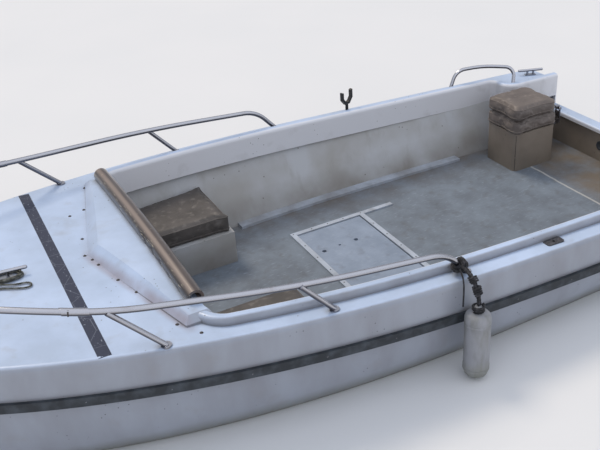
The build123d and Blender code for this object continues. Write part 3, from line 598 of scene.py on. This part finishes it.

# polished stainless steel: bright and even above, with painted shade and a painted dark reflection on its
# undersides, and a little tea staining
steel, tree, place = new_finish("polished_stainless_steel")
marks = add(tree, "TexNoise", {"Vector": place, "Scale": 7.0, "Detail": 2.0})
rough = add(tree, "MapRange", {"Value": marks, "From Min": 0.3, "From Max": 0.7, "To Min": 0.19,
                               "To Max": 0.25})
spots = add(tree, "TexNoise", {"Vector": place, "Scale": 16.0, "Detail": 5.0})
tea = add(tree, "MapRange", {"Value": spots, "From Min": 0.62, "From Max": 0.80, "To Max": 0.3})
stained = add(tree, "Mix", {"Factor": tea, "A": "#bfc0c7", "B": "#8d7a69"}, data_type="RGBA")
facing = add(tree, "SeparateXYZ", {"Vector": add(tree, "TexCoord").outputs["Normal"]})
painted_underside_shade = add(tree, "MapRange", {"Value": facing.outputs["Z"], "From Min": 0.3, "From Max": -0.2,
                                 "To Max": 0.85}, interpolation_type="SMOOTHSTEP")
colour = add(tree, "Mix", {"Factor": painted_underside_shade, "A": stained, "B": "#47464c"}, data_type="RGBA")
shader = add(tree, "BsdfPrincipled", {"Base Color": colour, "Metallic": 1.0, "Roughness": rough})
add(tree, "OutputMaterial", {"Surface": shader})

SCREW_AFT = -2.00
SCREW_GAP = 0.30
SCREW_LOW = 0.168
ABEAM = 2.0
strake = solid_of("strake_port", "strake_starboard")


def pan_screws(name, surface, rays, radius, finish=steel, sunk=0.0):
    """Pan-head screws where rays meet a surface, each with its recess sunk in the head."""
    profile = ((0.0, 0.18), (0.25, 0.2), (0.32, 0.42), (0.7, 0.36), (1.0, 0.1), (1.0, -0.2), (0.0, -0.2))
    heads = bmesh.new()
    for start, way in rays:
        hit, normal, _, _ = surface.ray_cast(start, way)
        if hit:
            place = upright_on(hit - normal * sunk, normal)
            turned(heads, [(radius * r, radius * z) for r, z in profile], place, 12)
    return finish_piece(name, heads, finish)


def sheer(x):
    """Height of deck level at a station."""
    return 0.451 + 0.0510885 * x + 0.0068881 * x * x


strake_rays = []
for side in (-1, 1):
    for i in range(14):
        x = SCREW_AFT + i * SCREW_GAP
        strake_rays.append((Vector((x, side * ABEAM, sheer(x) - SCREW_LOW)), Vector((0, -side, 0))))
pan_screws("strake_screws", strake, strake_rays, 0.006, sunk=0.0024)


# Cockpit liner
# The inner moulding of walls, transom and bench lockers, in a warm grey gelcoat that was sprayed and
# left unpolished. Water has run down it, and dirt has gathered where it meets the floor. A rubber-ringed
# drain opens in the transom, to starboard.
def liner_gelcoat(name, first, second):
    """Unpolished gelcoat with runs of dirt and a soiled foot."""
    made, tree, place = new_finish(name)
    patches = add(tree, "TexNoise", {"Vector": place, "Scale": 4.0, "Detail": 5.0})
    tone = add(tree, "MapRange", {"Value": patches, "From Min": 0.35, "From Max": 0.65})
    base = add(tree, "Mix", {"Factor": tone, "A": first, "B": second}, data_type="RGBA")
    runs = add(tree, "Mapping", {"Vector": place, "Scale": (16.0, 16.0, 2.2)})
    drips = add(tree, "TexNoise", {"Vector": runs, "Scale": 1.0, "Detail": 6.0})
    drip = add(tree, "MapRange", {"Value": drips, "From Min": 0.56, "From Max": 0.84, "To Max": 0.4})
    streaked = add(tree, "Mix", {"Factor": drip, "A": base, "B": "#857e76"}, data_type="RGBA")
    height = add(tree, "SeparateXYZ", {"Vector": place})
    low = add(tree, "MapRange", {"Value": height.outputs["Z"], "From Min": 0.17, "From Max": 0.01})
    broken = add(tree, "Math", {0: low, 1: patches}, operation="MULTIPLY")
    soiled = add(tree, "Mix", {"Factor": broken, "A": streaked, "B": "#5f584e"}, data_type="RGBA")
    cells = add(tree, "TexVoronoi", {"Vector": place, "Scale": 16.0})
    spot = add(tree, "MapRange", {"Value": cells.outputs["Distance"], "From Min": 0.075, "From Max": 0.05,
                                  "To Max": 0.7})
    spotted = add(tree, "Mix", {"Factor": spot, "A": soiled, "B": "#554c44"}, data_type="RGBA")
    peel = add(tree, "TexNoise", {"Vector": place, "Scale": 110.0, "Detail": 3.0})
    bump = add(tree, "Bump", {"Height": peel, "Strength": 0.12, "Distance": 0.001})
    shader = add(tree, "BsdfPrincipled", {"Base Color": spotted, "Roughness": 0.48, "IOR": 1.5,
                                          "Normal": bump})
    add(tree, "OutputMaterial", {"Surface": shader})
    return made


liner = liner_gelcoat("sprayed_grey_gelcoat", "#babdc1", "#a7a6a4")
dress(("side_wall_port", "side_wall_starboard", "bulkhead", "bench_port", "bench_starboard"), liner)
# the seat locker and transom wall are painted a darker brown-grey, partly dirt and partly painted shade
# under the seat
stern_dirt_and_shade_coat = liner_gelcoat("brown_grey_gelcoat_dirt_and_shade", "#8f857a", "#796f65")
dress(("seat_box", "transom_wall"), stern_dirt_and_shade_coat)

DRAIN_FROM = Vector((-1.5, -0.17, 0.104))
DRAIN_PROFILE = ((0.0, 0.0006), (0.016, 0.0006), (0.018, 0.004), (0.026, 0.004), (0.029, 0.001),
                 (0.029, -0.002), (0.0, -0.002))
transom_inside = solid_of("transom_wall")
hit, normal, _, _ = transom_inside.ray_cast(DRAIN_FROM, Vector((-1, 0, 0)))
if hit:
    drain = bmesh.new()
    turned(drain, DRAIN_PROFILE, upright_on(hit, normal), 24)
    finish_piece("transom_drain", drain, rubber)


# Cockpit floor, hatch and battens
# Plywood under glass, painted with grey anti-slip deck paint. Boots have scuffed it pale, silt lies along
# its edges, and a pale line of sealant crosses it aft, with brown dirt behind. The hatch and its frame
# are a shade paler.
SEAM_X = -1.70


def deck_paint(name, first, second, silt):
    """Grit-filled paint with scuffs, silt and the line of sealant."""
    made, tree, place = new_finish(name)
    patches = add(tree, "TexNoise", {"Vector": place, "Scale": 5.0, "Detail": 7.0, "Roughness": 0.65})
    tone = add(tree, "MapRange", {"Value": patches, "From Min": 0.36, "From Max": 0.66})
    base = add(tree, "Mix", {"Factor": tone, "A": first, "B": second}, data_type="RGBA")
    strokes = add(tree, "Mapping", {"Vector": place, "Rotation": (0.0, 0.0, 0.9),
                                    "Scale": (24.0, 90.0, 1.0)})
    scuffs = add(tree, "TexNoise", {"Vector": strokes, "Scale": 1.0, "Detail": 5.0, "Distortion": 0.3})
    scuff = add(tree, "MapRange", {"Value": scuffs, "From Min": 0.58, "From Max": 0.76, "To Max": 0.35})
    scuffed = add(tree, "Mix", {"Factor": scuff, "A": base, "B": "#a9b3c0"}, data_type="RGBA")
    spread = add(tree, "SeparateXYZ", {"Vector": place})
    apart = add(tree, "Math", {0: spread.outputs["Y"]}, operation="ABSOLUTE")
    edge = add(tree, "MapRange", {"Value": apart, "From Min": 0.45, "From Max": 0.72})
    aft = add(tree, "MapRange", {"Value": spread.outputs["X"], "From Min": SEAM_X + 0.02,
                                 "From Max": SEAM_X - 0.10})
    both = add(tree, "Math", {0: edge, 1: aft}, operation="MAXIMUM")
    cloud = add(tree, "MapRange", {"Value": patches, "From Min": 0.3, "From Max": 0.62, "To Min": 0.25})
    amount = add(tree, "Math", {0: both, 1: cloud}, operation="MULTIPLY")
    share = add(tree, "MapRange", {"Value": amount, "To Max": silt})
    silted = add(tree, "Mix", {"Factor": share, "A": scuffed, "B": "#6d6152"}, data_type="RGBA")
    stains = add(tree, "TexNoise", {"Vector": place, "Scale": 14.0, "Detail": 8.0, "Distortion": 0.1})
    stain = add(tree, "MapRange", {"Value": stains, "From Min": 0.56, "From Max": 0.74, "To Max": 0.35})
    marked = add(tree, "Mix", {"Factor": stain, "A": silted, "B": "#504d49"}, data_type="RGBA")
    wander = add(tree, "MapRange", {"Value": patches, "To Min": -0.012, "To Max": 0.012})
    from_seam = add(tree, "Math", {0: spread.outputs["X"], 1: wander}, operation="ADD")
    off_seam = add(tree, "Math", {0: from_seam, 1: SEAM_X}, operation="SUBTRACT")
    seam_gap = add(tree, "Math", {0: off_seam}, operation="ABSOLUTE")
    seam = add(tree, "MapRange", {"Value": seam_gap, "From Min": 0.008, "From Max": 0.004, "To Max": 0.55})
    sealed = add(tree, "Mix", {"Factor": seam, "A": marked, "B": "#c9c8c2"}, data_type="RGBA")
    grit = add(tree, "TexVoronoi", {"Vector": place, "Scale": 240.0})
    bump = add(tree, "Bump", {"Height": grit.outputs["Distance"], "Strength": 0.35, "Distance": 0.0012})
    shader = add(tree, "BsdfPrincipled", {"Base Color": sealed, "Roughness": 0.62, "Normal": bump})
    add(tree, "OutputMaterial", {"Surface": shader})
    return made


floor_paint = deck_paint("anti_slip_deck_paint", "#75808c", "#626a74", 0.85)
hatch_paint = deck_paint("anti_slip_hatch_paint", "#8e9bae", "#7c899b", 0.3)
trim_paint = deck_paint("worn_batten_paint", "#b2bcca", "#9aa1ab", 0.4)
dress(("floor", "hatch_ledge"), floor_paint)
dress(("hatch_cover",), hatch_paint)
dress(("hatch_frame", "floor_batten_port", "floor_batten_starboard"), trim_paint)

FRAME_HALF = 0.414
FRAME_FORE = -0.116
FRAME_AFT = -0.544
OVER_FLOOR = 0.3
frame_top = solid_of("hatch_frame")
frame_rays = []
for i in range(7):
    across = -FRAME_HALF + i * FRAME_HALF / 3
    for x in (FRAME_FORE, FRAME_AFT):
        frame_rays.append((Vector((x, across, OVER_FLOOR)), DOWN))
for x in (-0.23, -0.33, -0.43):
    for side in (-1, 1):
        frame_rays.append((Vector((x, side * FRAME_HALF, OVER_FLOOR)), DOWN))
pan_screws("frame_screws", frame_top, frame_rays, 0.0042, finish=tarnished, sunk=0.0006)


# Split pipe over the foredeck's edge
# Closed-cell foam pipe with a slick brown-grey skin, slit along its length and pushed over the edge of
# the deck as a fender for hands and gear. A tan band along its top is a painted highlight, and it is torn
# pale along its slit.
foam, tree, place = new_finish("skinned_foam_pipe")
length = add(tree, "Mapping", {"Vector": place, "Scale": (60.0, 5.0, 60.0)})
bands = add(tree, "TexNoise", {"Vector": length, "Scale": 1.0, "Detail": 5.0})
share = add(tree, "MapRange", {"Value": bands, "From Min": 0.35, "From Max": 0.7})
base = add(tree, "Mix", {"Factor": share, "A": "#4b423f", "B": "#5d524c"}, data_type="RGBA")
nicks = add(tree, "TexNoise", {"Vector": place, "Scale": 42.0, "Detail": 7.0})
nick = add(tree, "MapRange", {"Value": nicks, "From Min": 0.66, "From Max": 0.76, "To Max": 0.5})
# a painted highlight: a tan band where the skin faces up and a little forward, where the sun's glint lies
facing = add(tree, "TexCoord").outputs["Normal"]
up = add(tree, "VectorMath", {0: facing, 1: (0.50, 0.0, 0.866)}, operation="DOT_PRODUCT").outputs["Value"]
painted_highlight = add(tree, "MapRange", {"Value": up, "From Min": 0.80, "From Max": 0.985, "To Max": 0.6},
            interpolation_type="SMOOTHSTEP")
highlighted = add(tree, "Mix", {"Factor": painted_highlight, "A": base, "B": "#a3948a"}, data_type="RGBA")
worn = add(tree, "Mix", {"Factor": nick, "A": highlighted, "B": "#c3b295"}, data_type="RGBA")
spread = add(tree, "SeparateXYZ", {"Vector": place})
slit_line = add(tree, "MapRange", {"Value": spread.outputs["X"], "From Min": 0.812, "From Max": 0.824})
slit = add(tree, "Mix", {"Factor": slit_line, "A": worn, "B": "#3d3735"}, data_type="RGBA")
tears = add(tree, "TexNoise", {"Vector": length, "Scale": 4.0, "Detail": 6.0})
tear = add(tree, "MapRange", {"Value": tears, "From Min": 0.60, "From Max": 0.68, "To Max": 0.8})
torn = add(tree, "Math", {0: slit_line, 1: tear}, operation="MULTIPLY")
colour = add(tree, "Mix", {"Factor": torn, "A": slit, "B": "#c9bfa6"}, data_type="RGBA")
pores = add(tree, "TexNoise", {"Vector": place, "Scale": 230.0, "Detail": 3.0})
bump = add(tree, "Bump", {"Height": pores, "Strength": 0.12, "Distance": 0.001})
shader = add(tree, "BsdfPrincipled", {"Base Color": colour, "Roughness": 0.28, "Normal": bump,
                                      "Coat Weight": 0.5, "Coat Roughness": 0.16})
add(tree, "OutputMaterial", {"Surface": shader})
dress(("edge_pipe",), foam)


# Guard rails, posts and cleats
# Bent 25 mm stainless tube on raked 22 mm posts, with sleeved joints and round flanges, each flange held
# by three screws. It was polished, and has a little tea staining now.
dress(("rail_port", "rail_starboard", "rail_bow", "rail_sleeves", "rail_feet", "posts_port",
       "posts_starboard", "quarter_rail_port", "quarter_rail_starboard", "bow_cleat", "stern_cleats",
       "seat_hinge_brackets", "seat_hinge_lugs"), steel)

FEET = ((-0.280, 0.8863), (0.330, 0.8621), (0.980, 0.7722), (1.600, 0.5214))
FOOT_SCREWS_R = 0.0165
JOINT_AT = 0.72
JOINT_HALF = 0.003
JOINT_WIDE = 0.031
flanges = solid_of("rail_feet", "posts_port", "posts_starboard")
foot_rays = []
for x, y in FEET:
    for side in (-1, 1):
        for k in range(3):
            turn = 2 * math.pi * (k / 3 + 0.2)
            out = y + FOOT_SCREWS_R * math.sin(turn)
            at = Vector((x + FOOT_SCREWS_R * math.cos(turn), side * out, sheer(x) + 0.012))
            foot_rays.append((at, DOWN))
pan_screws("foot_screws", flanges, foot_rays, 0.0032)

# a dark band of dirt and tape marks where each sleeve covers the joint in its rail
joint_marks = []
for side in (-1, 1):
    skin = [v.co for v in nodes["rail_sleeves"].data.vertices if v.co.y * side > 0]
    skin.sort(key=lambda p: p.x)
    quarter = len(skin) // 4
    aft_end = sum(skin[:quarter], Vector()) / quarter
    fore_end = sum(skin[-quarter:], Vector()) / quarter
    along_rail = (fore_end - aft_end).normalized()
    at = aft_end.lerp(fore_end, JOINT_AT)
    joint_marks.append((at - along_rail * JOINT_HALF, at + along_rail * JOINT_HALF))
rail_joints = tubes("rail_joints", joint_marks, JOINT_WIDE, tarnished, sides=4)
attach(rail_joints, "boat")


# Rowlock sockets and crutch
# Galvanised iron plates let into the side decks, gone dark grey, and one moulded nylon crutch left in
# the starboard socket.
galvanised, tree, place = new_finish("galvanised_iron")
spangle = add(tree, "TexVoronoi", {"Vector": place, "Scale": 140.0})
colour = add(tree, "Mix", {"Factor": spangle.outputs["Distance"], "A": "#3b3b40", "B": "#6a6a6f"},
             data_type="RGBA")
shader = add(tree, "BsdfPrincipled", {"Base Color": colour, "Metallic": 0.8, "Roughness": 0.55})
add(tree, "OutputMaterial", {"Surface": shader})
dress(("rowlock_socket_port", "rowlock_socket_starboard"), galvanised)

nylon, tree, place = new_finish("moulded_nylon")
mould = add(tree, "TexNoise", {"Vector": place, "Scale": 180.0, "Detail": 3.0})
colour = add(tree, "Mix", {"Factor": mould, "A": "#161618", "B": "#2c2c2e"}, data_type="RGBA")
bump = add(tree, "Bump", {"Height": mould, "Strength": 0.15, "Distance": 0.0008})
shader = add(tree, "BsdfPrincipled", {"Base Color": colour, "Roughness": 0.5, "Normal": bump})
add(tree, "OutputMaterial", {"Surface": shader})
dress(("rowlock_crutch",), nylon)

ROWLOCK_Y = 0.8842
PLATE_ENDS = (-0.783, -0.717)
plates = solid_of("rowlock_socket_port", "rowlock_socket_starboard")
plate_rays = []
for side in (-1, 1):
    for x in PLATE_ENDS:
        plate_rays.append((Vector((x, side * ROWLOCK_Y, 0.60)), DOWN))
pan_screws("rowlock_screws", plates, plate_rays, 0.0045, finish=tarnished)


# Bench cushions
# Foam slabs in dark brown-grey coated cloth, thick and soft, that lie on the two bench lockers. The
# covers are sewn with piping round the top and bottom edges and have crept and creased.
PAD_VOXEL = 0.006
PAD_PRESSURE = 4.0
PAD_FRAMES = 20


def leathercloth(name, first, second, worn):
    """PVC-coated cloth with an embossed grain, drawn about 3 mm coarse so that it shows."""
    made, tree, place = new_finish(name)
    patches = add(tree, "TexNoise", {"Vector": place, "Scale": 7.0, "Detail": 5.0})
    tone = add(tree, "MapRange", {"Value": patches, "From Min": 0.35, "From Max": 0.68})
    base = add(tree, "Mix", {"Factor": tone, "A": first, "B": second}, data_type="RGBA")
    dust = add(tree, "TexNoise", {"Vector": place, "Scale": 30.0, "Detail": 8.0})
    dusty = add(tree, "MapRange", {"Value": dust, "From Min": 0.55, "From Max": 0.75, "To Max": 0.45})
    colour = add(tree, "Mix", {"Factor": dusty, "A": base, "B": worn}, data_type="RGBA")
    grain = add(tree, "TexVoronoi", {"Vector": place, "Scale": 330.0}, feature="DISTANCE_TO_EDGE")
    bump = add(tree, "Bump", {"Height": grain, "Strength": 0.25, "Distance": 0.0007})
    creases = add(tree, "TexNoise", {"Vector": place, "Scale": 11.0, "Detail": 3.0, "Distortion": 1.5})
    folds = add(tree, "Bump", {"Height": creases, "Strength": 0.4, "Distance": 0.008, "Normal": bump})
    rough = add(tree, "MapRange", {"Value": dust, "To Min": 0.34, "To Max": 0.6})
    shader = add(tree, "BsdfPrincipled", {"Base Color": colour, "Roughness": rough, "Normal": folds})
    add(tree, "OutputMaterial", {"Surface": shader})
    return made


def bake_in(piece):
    """Write a piece's modifiers into its mesh."""
    mesh = read_mesh(piece)
    piece.modifiers.clear()
    piece.data = mesh


def plump(name, node, finish, body, cap, draw_in):
    """Padded piece: the CAD pad drawn in, remeshed, and swollen as cloth."""
    low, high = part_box(node)
    shape = bmesh.new()
    shape.from_mesh(nodes[node].data)
    bmesh.ops.remove_doubles(shape, verts=shape.verts, dist=1e-5)
    foot = Vector(((low.x + high.x) / 2, (low.y + high.y) / 2, low.z + 0.001))
    size = high - low
    smaller = Vector([(s - 2 * draw_in) / s for s in size.xy] + [(size.z - draw_in) / size.z])
    for v in shape.verts:
        v.co = foot + (v.co - foot) * smaller
    mesh = bpy.data.meshes.new(name)
    shape.to_mesh(mesh)
    shape.free()
    pad = bpy.data.objects.new(name, mesh)
    scene.collection.objects.link(pad)
    remesh = pad.modifiers.new("remesh", "REMESH")
    remesh.mode = "VOXEL"
    remesh.voxel_size = PAD_VOXEL
    bake_in(pad)
    start = [v.co.copy() for v in pad.data.vertices]
    cloth = pad.modifiers.new("cloth", "CLOTH")
    cloth.settings.use_pressure = True
    cloth.settings.uniform_pressure_force = PAD_PRESSURE
    cloth.settings.effector_weights.gravity = 0.0
    cloth.settings.quality = 4
    scene.frame_start = 1
    scene.frame_end = PAD_FRAMES
    for step in range(1, PAD_FRAMES + 1):
        scene.frame_set(step)
    bake_in(pad)
    scene.frame_set(1)
    for v, was in zip(pad.data.vertices, start):
        moved = v.co - was
        if moved.length > cap:
            v.co = was + moved.normalized() * cap
        v.co.z = max(v.co.z, low.z + 0.0008)
    even = pad.modifiers.new("even", "SMOOTH")
    even.factor = 0.5
    even.iterations = 5
    soften = pad.modifiers.new("soften", "SUBSURF")
    soften.levels = 1
    soften.render_levels = 1
    bake_in(pad)
    pad.data.materials.clear()
    pad.data.materials.append(finish)
    for face in pad.data.polygons:
        face.use_smooth = True
    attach(pad, body)
    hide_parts(node)
    return pad


def piping(name, pad, level, thick, finish, body):
    """Sewn piping round a pad where a level plane meets it."""
    shape = bmesh.new()
    shape.from_mesh(pad.data)
    cut = bmesh.ops.bisect_plane(shape, geom=shape.verts[:] + shape.edges[:] + shape.faces[:], dist=1e-7,
                                 plane_co=(0, 0, level), plane_no=(0, 0, 1))
    edges = [g for g in cut["geom_cut"] if isinstance(g, bmesh.types.BMEdge)]
    ring = {}
    for e in edges:
        for a, b in ((0, 1), (1, 0)):
            ring.setdefault(e.verts[a], []).append(e.verts[b])
    start = edges[0].verts[0]
    loop = [start]
    before = None
    while True:
        ahead = next((v for v in ring[loop[-1]] if v is not before), None)
        if ahead is None or ahead is start:
            break
        before = loop[-1]
        loop.append(ahead)
    points = [v.co.copy() for v in loop][::3]
    shape.free()
    piece = tubes(name, [points], thick, finish, closed=True, sides=2)
    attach(piece, body)


bench_cloth = leathercloth("dark_coated_cloth", "#46423f", "#5b5653", "#8a8580")
for side in ("port", "starboard"):
    low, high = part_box("cushion_" + side)
    pad = plump("bench_pad_" + side, "cushion_" + side, bench_cloth, "boat", 0.014, 0.011)
    piping("bench_piping_top_" + side, pad, high.z - 0.016, 0.007, bench_cloth, "boat")
    piping("bench_piping_low_" + side, pad, low.z + 0.018, 0.007, bench_cloth, "boat")


# Helm seat
# Two thick pads in grey-brown coated cloth on a locker: the seat, and the backrest that folds down over
# it on two steel hinges. Each pad is piped round both edges and is plain.
seat_cloth = leathercloth("grey_brown_coated_cloth", "#5f5753", "#756c66", "#9a9089")
for name, node, body in (("seat_pad", "seat_cushion", "boat"), ("back_pad", "seat_back", "seat_backrest")):
    low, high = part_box(node)
    pad = plump(name, node, seat_cloth, body, 0.018, 0.014)
    piping(name + "_piping_top", pad, high.z - 0.016, 0.006, seat_cloth, body)
    piping(name + "_piping_low", pad, low.z + 0.016, 0.006, seat_cloth, body)


# Fender
# A blown PVC cylinder, off-white and dull, with moulded ribs at both shoulders and a solid neck that the
# line is tied to. Its off-white is painted down to grey, partly rubbing and partly painted shade, and it is
# green where it dips in the water.
FENDER_AT = Vector((-0.240, 1.02535, 0.0))
FENDER_PROFILE = ((0.0, 0.0102), (0.020, 0.0102), (0.036, 0.0150), (0.0480, 0.0270), (0.0535, 0.0420),
                  (0.0545, 0.0480), (0.0558, 0.0500), (0.0558, 0.0540), (0.0540, 0.0560), (0.0542, 0.0620),
                  (0.0558, 0.0640), (0.0558, 0.0680), (0.0540, 0.0700), (0.0545, 0.1200), (0.0545, 0.2400),
                  (0.0540, 0.2740), (0.0558, 0.2760), (0.0558, 0.2800), (0.0540, 0.2820), (0.0538, 0.2880),
                  (0.0552, 0.2900), (0.0552, 0.2960), (0.0545, 0.3060), (0.0515, 0.3170), (0.0450, 0.3250),
                  (0.0330, 0.3295), (0.0185, 0.3305), (0.0175, 0.3340), (0.0175, 0.3520), (0.0150, 0.3580),
                  (0.0, 0.3598))
blown, tree, place = new_finish("blown_white_pvc")
# the grey base colours stand for rubbing marks and for painted shade over the whole fender
rubs = add(tree, "Mapping", {"Vector": place, "Scale": (30.0, 30.0, 9.0)})
rubbing_and_shade = add(tree, "TexNoise", {"Vector": rubs, "Scale": 1.0, "Detail": 5.0})
share = add(tree, "MapRange", {"Value": rubbing_and_shade, "From Min": 0.40, "From Max": 0.8})
base = add(tree, "Mix", {"Factor": share, "A": "#96989e", "B": "#7c7d78"}, data_type="RGBA")
height = add(tree, "SeparateXYZ", {"Vector": place})
wet = add(tree, "MapRange", {"Value": height.outputs["Z"], "From Min": 0.11, "From Max": 0.01,
                             "To Max": 0.6})
colour = add(tree, "Mix", {"Factor": wet, "A": base, "B": "#75765f"}, data_type="RGBA")
pitted = add(tree, "TexNoise", {"Vector": place, "Scale": 90.0, "Detail": 4.0})
bump = add(tree, "Bump", {"Height": pitted, "Strength": 0.15, "Distance": 0.0015})
shader = add(tree, "BsdfPrincipled", {"Base Color": colour, "Roughness": 0.5, "Normal": bump})
add(tree, "OutputMaterial", {"Surface": shader})

shape = bmesh.new()
turned(shape, FENDER_PROFILE, Matrix.Translation(FENDER_AT), 48)
fender_body = finish_piece("fender_body", shape, blown)
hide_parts("fender")
